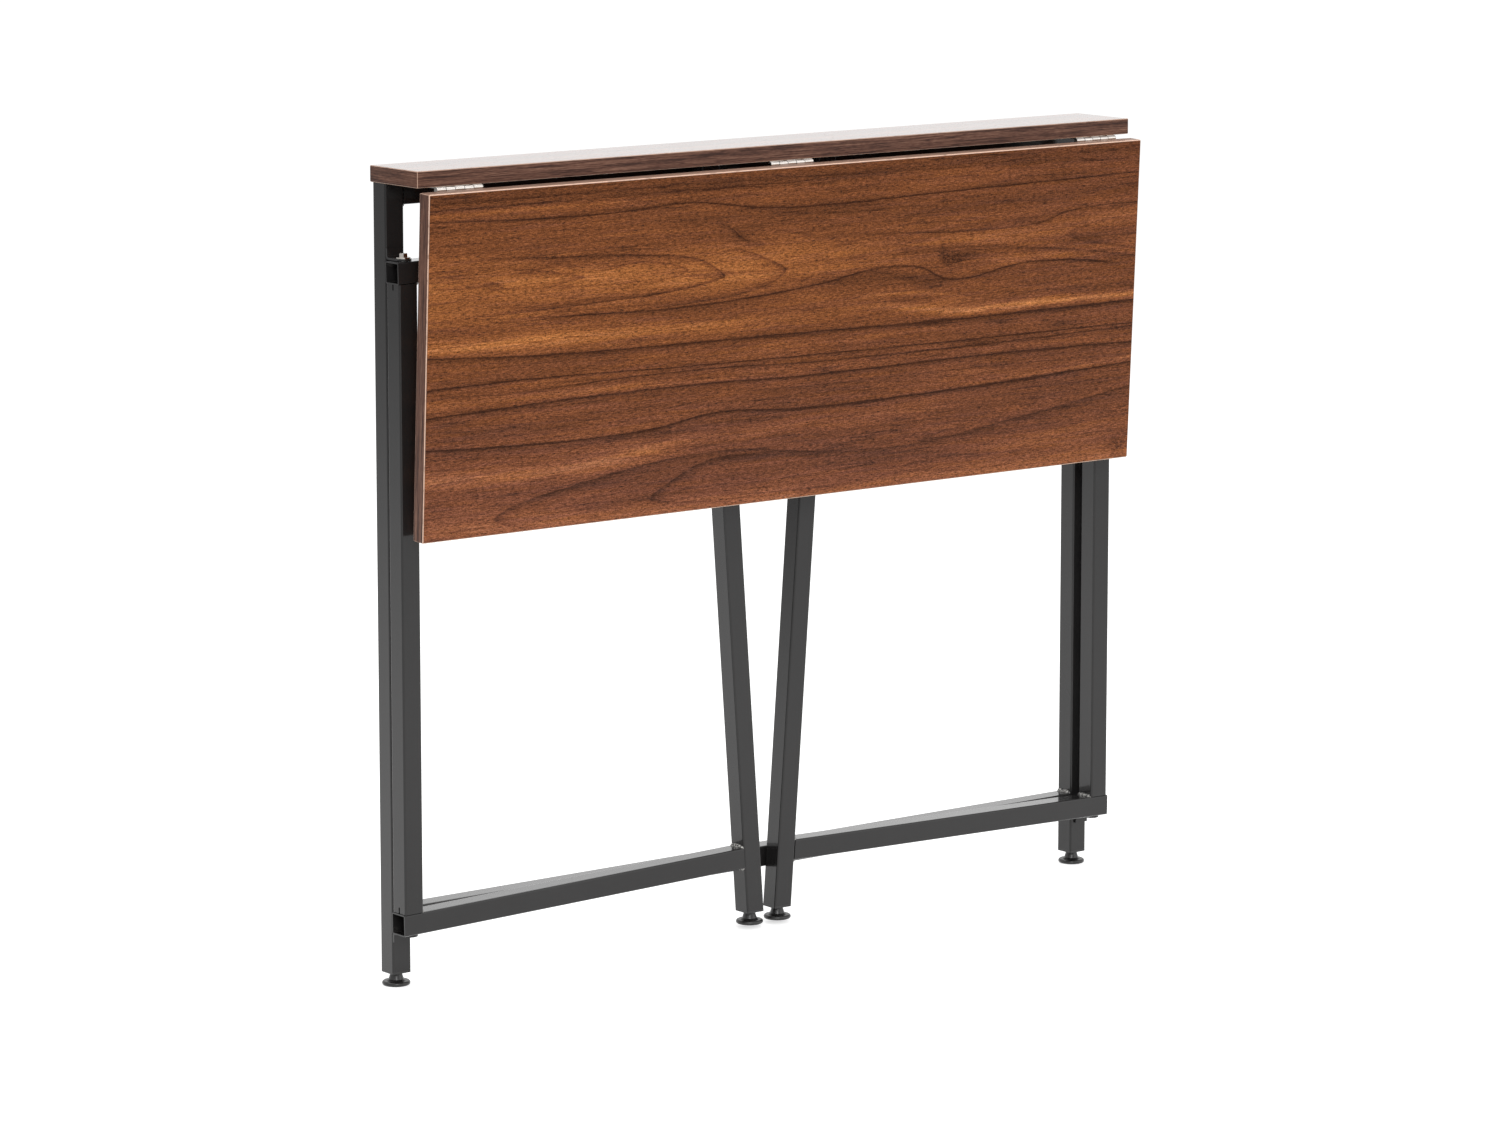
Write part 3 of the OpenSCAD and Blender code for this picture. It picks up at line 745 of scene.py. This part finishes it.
def board_outline(low, high, corner):
    """Outline of a board: a rectangle with quarter circles at its corners, and its normals."""
    turn = np.linspace(0, math.pi / 2, ARC)
    angles = np.concatenate([turn + quarter * math.pi / 2 for quarter in range(4)])
    signs = np.array([[1, 1], [-1, 1], [-1, -1], [1, -1]])
    centres = np.where(signs > 0, high[:2], low[:2]) - corner * signs
    normals = np.stack([np.cos(angles), np.sin(angles)], axis=1)
    return np.repeat(centres, ARC, axis=0) + corner * normals, normals


def lengths_along(loop):
    """Length along a closed loop of points, at each of them and back at the first."""
    steps = np.linalg.norm(np.roll(loop, -1, axis=0) - loop, axis=1)
    return np.concatenate([[0], np.cumsum(steps)])


def edge_band(low, high, looks, pallor, painted_highlight):
    """Strip round a board between two corners, level, as points, pale marks and print coordinates.

    The strip's section is carried round the board's outline: point (s, t) = outline(s)
    + normal(s) outward(t) + up(t). pallor is how far its arrises are drawn lighter, and
    painted_highlight how far its whole side at high y is, as a painted highlight.
    """
    outward, upward, lightened = strip_section(high[2] - low[2], looks.arris, pallor)
    outline, normals = board_outline(low, high, looks.corner)
    grid = np.empty((len(outline), len(outward), 3))
    grid[..., :2] = outline[:, None] + normals[:, None] * outward[None, :, None]
    grid[..., 2] = low[2] + upward
    along, across = lengths_along(outline), lengths_along(np.stack([outward, upward], axis=1))
    uv = np.stack(np.meshgrid(along, across, indexing="ij"), axis=-1)
    seam = np.tile(CORNER_PALLOR * np.sin(np.linspace(0, math.pi, ARC)) ** 3, 4)
    marks = np.maximum(seam[:, None], lightened)
    # The side at high y runs from the first corner's last point to the next corner's first
    far_side = slice(ARC - 1, ARC + 1)
    # Painted highlight over the whole of the side at high y; the fixed top gets none
    marks[far_side] = np.maximum(marks[far_side], painted_highlight)
    return grid, marks, uv


def level_leaf(top_low, top_high):
    """Corners of the leaf as it lies level, worked out from the top's and from its box as it hangs.

    That box is length sin(hang) + thick |cos(hang)| high. The pins lie midway between the boards.
    """
    low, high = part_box("leaf_edging")
    thick = top_high[2] - top_low[2]
    length = (high.z - low.z - thick * abs(math.cos(HANG))) / math.sin(HANG)
    near = 2 * PIN[1] - top_low[1]
    return (
        np.array([top_low[0], near - length, top_low[2]]),
        np.array([top_high[0], near, top_high[2]]),
    )


class DESK_OT_bands(bpy.types.Operator):
    """Makes the edging strips of both boards, with rounded arrises"""

    bl_idname = "desk.bands"
    bl_label = "Make the edging strips"

    def execute(self, context):
        looks = context.scene.desk_bands
        material = edging_print(looks)
        top_box = [np.array(corner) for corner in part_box("fixed_top_edging")]
        top = edge_band(*top_box, looks, looks.top_pallor, 0)
        # The leaf's strip gets a painted highlight over its hinged edge
        grid, *prints = edge_band(*level_leaf(*top_box), looks, looks.leaf_pallor, looks.leaf_painted_highlight)
        leaf = (hung(grid), *prints)
        for name, (grid, marks, uv), body, node in (
            ("top_edge_band", top, "rear_frame", "fixed_top_edging"),
            ("leaf_edge_band", leaf, "leaf", "leaf_edging"),
        ):
            piece = mesh_object(
                name, [grid], (True, True), material, body, [marks], [uv]
            )
            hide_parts(node)
        return {"FINISHED"}


def powder_coat(looks):
    """Semi-gloss powder coat: even dark colour with a fine orange peel under a smoother skin."""
    graph = new_material("powder coat")
    x, y, z = graph.millimetres()
    cloud = graph.ripple(x / 45, y / 45, z / 45, 2)
    peel = graph.noise(x / 1.1, y / 1.1, z / 1.1)
    specks = graph.noise(x / 0.5, y / 0.5, z / 0.5, 0).fade(0.72, 0.8)
    lighter = tuple(1.7 * part for part in looks.paint_colour)
    paleness = (0.2 + cloud * 0.5 + specks * 0.35).at_least(0)
    return graph.finish(
        Base_Color=graph.mix(paleness, looks.paint_colour, lighter),
        Roughness=looks.paint_roughness + cloud * 0.08 + (peel - 0.5) * 0.06,
        Specular_IOR_Level=0.1,
        Coat_Weight=1.0,
        Coat_Roughness=0.09,
        Coat_IOR=1.335,
        Normal=graph.relief(peel, 0.008 * MM),
    )


def painted_weld(looks):
    """Powder coat over a weld, its crests painted pale and partly metallic: painted glints."""
    graph = new_material("painted weld")
    x, y, z = graph.millimetres()
    lumps = graph.noise(x / 1.6, y / 1.6, z / 1.6, 3, 0.6)
    # Painted glints on the crests: a pale colour, with a little metallic shine
    painted_highlight = lumps.fade(0.42, 0.62)
    return graph.finish(
        Base_Color=graph.mix(painted_highlight, looks.paint_colour, looks.weld_glint_colour),
        Metallic=painted_highlight * 0.4,
        Roughness=0.4 - painted_highlight * 0.06,
        Specular_IOR_Level=0.5,
        Normal=graph.relief(lumps, 0.25 * MM),
    )


# Rings of a weld bead, points of each ring, waves in its sides, and the length of one ripple
BEAD_RINGS = 61
BEAD_POINTS = 16
BEAD_WAVES = 6
BEAD_RIPPLE = 1.7 * MM
# Share of a weld's length that stays free at each end
BEAD_INSET = 0.06
# Seed of the first bead's random waves; each further bead takes the next number
BEAD_SEED = 100


def weld_bead(start, along, length, opening, radius, seed):
    """Weld in a corner: a tube with rippled, tapered sides.

    Point (s, t) = start + along s + radius r(s) (side cos t + opening sin t), where r falls to
    about a tenth at both ends and dips between the ripples. Each ring bows a little along it.
    """
    shares = np.linspace(0, 1, BEAD_RINGS)
    turns = np.linspace(0, 2 * math.pi, BEAD_POINTS, endpoint=False)
    sizes, phases = np.random.default_rng(seed).normal(size=(2, BEAD_WAVES))
    waves = sum(
        size * np.sin((k + 1) * 2.1 * math.pi * shares + phase) / (k + 2)
        for k, (size, phase) in enumerate(zip(sizes, phases))
    )
    ripple = np.abs(np.sin(math.pi * (shares * length / BEAD_RIPPLE + 0.12 * waves)))
    taper = (1 - np.abs(2 * shares - 1) ** 7) ** 0.5
    thickness = radius * (0.12 + 0.88 * taper) * (0.8 + 0.2 * ripple + 0.05 * waves)
    along, opening = np.array(along, float), np.array(opening, float)
    opening /= np.linalg.norm(opening)
    side = np.cross(opening, along)
    ring = side * np.cos(turns)[:, None] + opening * np.sin(turns)[:, None]
    lean = 0.25 * radius * np.abs(np.sin(turns))[None, :, None] * along * taper[:, None, None]
    middle = np.array(start, float) + along * (shares * length)[:, None, None]
    return middle + thickness[:, None, None] * ring + lean


def facing(box, sideways):
    """X of a box's side at the right, where sideways is 1, or at the left, where it is -1."""
    return box[1].x if sideways > 0 else box[0].x


def weld_across(body, box, x, z, sideways, up):
    """Body, start, length and opening of the weld at (x, z) that runs as deep as a tube's box."""
    return body, (x, box[0].y, z), box[1].y - box[0].y, (sideways, 0, up)


def tube_corners():
    """Body, start, length along Y and opening of each weld, read from the tubes' boxes.

    A gate's rails rise towards its leg, so at the leg a rail's top is the top of its box. The
    leg leans by the angle that its box shows, and its level width is tube / cos(lean).
    """
    found = []
    for side, inward in (("left", 1), ("right", -1)):
        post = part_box(f"rear_post_{side}")
        tube = post[1].x - post[0].x
        inner = facing(post, inward)
        for rail, ways in (("rear_top_rail", (-1,)), ("rear_bottom_rail", (-1, 1))):
            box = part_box(rail)
            for up in ways:
                z = box[1].z if up > 0 else box[0].z
                found.append(weld_across("rear_frame", box, inner, z, inward, up))
        gate = f"gate_{side}"
        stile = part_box(f"gate_stile_{side}")
        inner = facing(stile, inward)
        for z, up in ((stile[0].z, 1), (stile[1].z, -1)):
            found.append(weld_across(gate, stile, inner, z, inward, up))
        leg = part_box(f"gate_leg_{side}")
        width, height = leg[1].x - leg[0].x, leg[1].z - leg[0].z
        lean = math.atan2(width - tube, height)
        reach = width - tube / math.cos(lean)
        for rail in ("top", "bottom"):
            rail_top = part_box(f"gate_{rail}_rail_{side}")[1].z
            for z, up in ((rail_top - tube, -1), (rail_top, 1)):
                share = (z - leg[0].z) / height
                x = facing(leg, -inward) + inward * (1 - share) * reach
                found.append(weld_across(gate, leg, x, z, -inward, up))
    return found


# How the names of the nodes in each finish start
COATED = (
    "rear_post", "rear_top_rail", "rear_bottom_rail", "gate_stile", "gate_top_rail",
    "gate_bottom_rail", "gate_leg_left", "gate_leg_right", "upper_bracket", "lower_bracket",
)
PLATED = (
    "hinge_top_screws", "hinge_leaf_screws", "upper_bolt", "lower_rivet", "pivot_", "top_fixing",
    "rear_stem", "gate_stem",
)
MOULDED = ("rear_foot", "gate_foot", "rear_plug", "gate_leg_plug", "gate_leg_cap")


class DESK_OT_frame(bpy.types.Operator):
    """Gives the tubes and brackets their powder coat and lays the weld beads in their corners"""

    bl_idname = "desk.frame"
    bl_label = "Finish the frame"

    def execute(self, context):
        looks = context.scene.desk_metal
        dress(powder_coat(looks), *names_with(*COATED))
        weld = painted_weld(looks)
        beads = {body: [] for body in BODIES}
        for number, (body, start, length, opening) in enumerate(tube_corners(), BEAD_SEED):
            inset = BEAD_INSET * length
            begin = (start[0], start[1] + inset, start[2])
            bead = weld_bead(begin, (0, 1, 0), length - 2 * inset, opening, looks.bead, number)
            beads[body].append(bead)
        for body, grids in beads.items():
            mesh_object(f"weld_beads_{body}", grids, (False, True), weld, body)
        return {"FINISHED"}


# Length of a hinge's knuckles, in millimetres
KNUCKLE = 10


def zinc(looks, middle=None):
    """Bright zinc plating with a faintly cloudy gloss.

    A hinge whose middle is at x = middle, in millimetres, also has dark joints between its
    knuckles, half a knuckle to each side of the middle and then one knuckle apart.
    """
    graph = new_material("zinc plating")
    x, y, z = graph.millimetres()
    cloud = graph.ripple(x / 4, y / 4, z / 4, 2)
    shadow = 0.4 + cloud * 0.8
    if middle is not None:
        joints = (x - middle).math("PINGPONG", KNUCKLE / 2).fade(KNUCKLE * 0.43, KNUCKLE * 0.48)
        shadow = shadow + joints * 1.6
    darker = tuple(0.55 * part for part in looks.zinc_colour)
    return graph.finish(
        Base_Color=graph.mix(shadow * 0.5, looks.zinc_colour, darker),
        Metallic=1.0,
        Roughness=0.2 + cloud * 0.1,
        Normal=graph.relief(cloud, 0.004 * MM),
    )


def moulded_plastic(looks):
    """Black moulded plastic with a fine spark-eroded grain."""
    graph = new_material("black plastic")
    x, y, z = graph.millimetres()
    grain = graph.noise(x / 0.35, y / 0.35, z / 0.35, 2, 0.6)
    cloud = graph.ripple(x / 9, y / 9, z / 9, 2)
    lighter = tuple(2.2 * part for part in looks.plastic_colour)
    return graph.finish(
        Base_Color=graph.mix((0.25 + cloud * 0.8).at_least(0), looks.plastic_colour, lighter),
        Roughness=0.32 + cloud * 0.14 + (grain - 0.5) * 0.1,
        Normal=graph.relief(grain, 0.012 * MM),
    )


class DESK_OT_fittings(bpy.types.Operator):
    """Gives the hinges, bolts and screws their zinc, and the feet, plugs and caps their plastic"""

    bl_idname = "desk.fittings"
    bl_label = "Finish the fittings"

    def execute(self, context):
        looks = context.scene.desk_metal
        parts = ("top_plate", "leaf_plate", "pin")
        for place in ("left", "middle", "right"):
            low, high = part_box(f"hinge_pin_{place}")
            plating = zinc(looks, (low.x + high.x) / 2 / MM)
            dress(plating, *(f"hinge_{part}_{place}" for part in parts))
        dress(zinc(looks), *names_with(*PLATED))
        dress(moulded_plastic(looks), *names_with(*MOULDED))
        return {"FINISHED"}


# Squares along each side of the floor
FLOOR_SQUARES = 8
# How bright the floor glows for the camera, and the distances from the desk, in millimetres,
# between which mirrored rays see that glow fade from nothing to full
FLOOR_GLOW = 0.62
GLOW_FADE = (6500, 300)
# Name, place and width of each soft lamp, and the setting that holds its power
LAMPS = (
    ("key lamp", (-3.2, -5.2, 3.4), 2.6, "key_power"),
    ("fill lamp", (2.4, -3.2, 1.6), 3.2, "fill_power"),
    ("top lamp", (0.2, 0.6, 3.2), 3.6, "top_power"),
)
# Point that the lamps face
LAMP_TARGET = Vector((0, 0, 0.4))
# Width of the camera's sensor, in millimetres
SENSOR_WIDTH = 36


def add_lamp(name, place, size, power):
    """Round soft lamp that faces the desk."""
    light = bpy.data.lights.new(name, "AREA")
    light.shape = "DISK"
    light.size = size
    light.energy = power
    holder = bpy.data.objects.new(name, light)
    bpy.context.scene.collection.objects.link(holder)
    holder.location = place
    away = holder.location - LAMP_TARGET
    holder.rotation_euler = away.to_track_quat("Z", "Y").to_euler()


def white_rays(graph):
    """1 for rays from the camera, and 1 for mirrored and refracted rays, as two wires."""
    path = graph.add("ShaderNodeLightPath", output="Is Camera Ray")
    return path, path.output("Is Glossy Ray").at_least(path.output("Is Transmission Ray"))


def floor_material():
    """Pale floor that the camera sees as white wherever no shadow falls."""
    graph = new_material("pale floor")
    x, y, _ = graph.millimetres()
    pale = graph.mix(graph.noise(x / 400, y / 400, 0, 2), (0.74,) * 3, (0.78,) * 3)
    diffuse = graph.add("ShaderNodeBsdfDiffuse", {}, {"Color": pale})
    direct, mirrored = white_rays(graph)
    near = ((x * x + y * y) ** 0.5).fade(*GLOW_FADE)
    strength = direct.at_least(mirrored * near) * FLOOR_GLOW
    glow = graph.add("ShaderNodeEmission", {}, {"Strength": strength})
    both = graph.add("ShaderNodeAddShader", {}, {0: diffuse, 1: glow})
    graph.add("ShaderNodeOutputMaterial", {}, {"Surface": both})
    return graph.owner


def level_floor(size):
    """The floor: a level square of points (s, t, 0), joined as quads."""
    steps = np.linspace(-size / 2, size / 2, FLOOR_SQUARES + 1)
    x, y = np.meshgrid(steps, steps, indexing="ij")
    grid = np.stack([x, y, np.zeros_like(x)], axis=-1)
    return grid_object("floor", [grid], (False, False), floor_material())


def white_world(ambient):
    """Surroundings that are white for the camera and in mirrors, and ambient as a light."""
    graph = Graph(bpy.data.worlds.new("white surroundings"))
    direct, mirrored = white_rays(graph)
    strength = direct.at_least(mirrored) * (1 - ambient) + ambient
    light = graph.add("ShaderNodeBackground", {}, {"Color": (1, 1, 1, 1), "Strength": strength})
    graph.add("ShaderNodeOutputWorld", {}, {"Surface": light})
    return graph.owner


class DESK_OT_stage(bpy.types.Operator):
    """Sets up the floor, the white surroundings, the soft lamps and the camera"""

    bl_idname = "desk.stage"
    bl_label = "Set the stage"

    def execute(self, context):
        looks = context.scene.desk_stage
        scene = context.scene
        level_floor(looks.floor_size)
        scene.world = white_world(looks.ambient)
        for name, place, size, power in LAMPS:
            add_lamp(name, place, size, getattr(looks, power))

        camera = bpy.data.objects.new("camera", bpy.data.cameras.new("camera"))
        camera.data.sensor_width = SENSOR_WIDTH
        camera.data.lens = looks.camera_lens
        camera.data.shift_y = looks.camera_shift
        camera.location = looks.camera_place
        camera.rotation_euler = (math.pi / 2 - looks.camera_dip, 0, -looks.camera_turn)
        scene.collection.objects.link(camera)
        scene.camera = camera
        scene.view_settings.view_transform = "Standard"
        return {"FINISHED"}


OPERATORS = (DESK_OT_boards, DESK_OT_bands, DESK_OT_frame, DESK_OT_fittings, DESK_OT_stage)
GROUPS = {
    "desk_boards": DESK_PG_boards,
    "desk_bands": DESK_PG_bands,
    "desk_metal": DESK_PG_metal,
    "desk_stage": DESK_PG_stage,
}


class DESK_PT_looks(bpy.types.Panel):
    """Sizes, colours and steps of the desk's looks"""

    bl_idname = "DESK_PT_looks"
    bl_label = "Folding desk"
    bl_space_type = "VIEW_3D"
    bl_region_type = "UI"
    bl_category = "Desk"

    def draw(self, context):
        for name, group in GROUPS.items():
            box = self.layout.box()
            for entry in group.__annotations__:
                box.prop(getattr(context.scene, name), entry)
        for operator in OPERATORS:
            self.layout.operator(operator.bl_idname)


CLASSES = (*GROUPS.values(), *OPERATORS, DESK_PT_looks)


def register():
    """Registers the classes and hangs the settings on the scene."""
    for entry in CLASSES:
        bpy.utils.register_class(entry)
    for name, group in GROUPS.items():
        setattr(bpy.types.Scene, name, bpy.props.PointerProperty(type=group))


def unregister():
    """Takes the settings and the classes away again."""
    for name in GROUPS:
        delattr(bpy.types.Scene, name)
    for entry in reversed(CLASSES):
        bpy.utils.unregister_class(entry)


def main():
    """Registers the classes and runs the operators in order."""
    register()
    bpy.ops.desk.stage()
    bpy.ops.desk.boards()
    bpy.ops.desk.bands()
    bpy.ops.desk.frame()
    bpy.ops.desk.fittings()


if __name__ == "__main__":
    main()
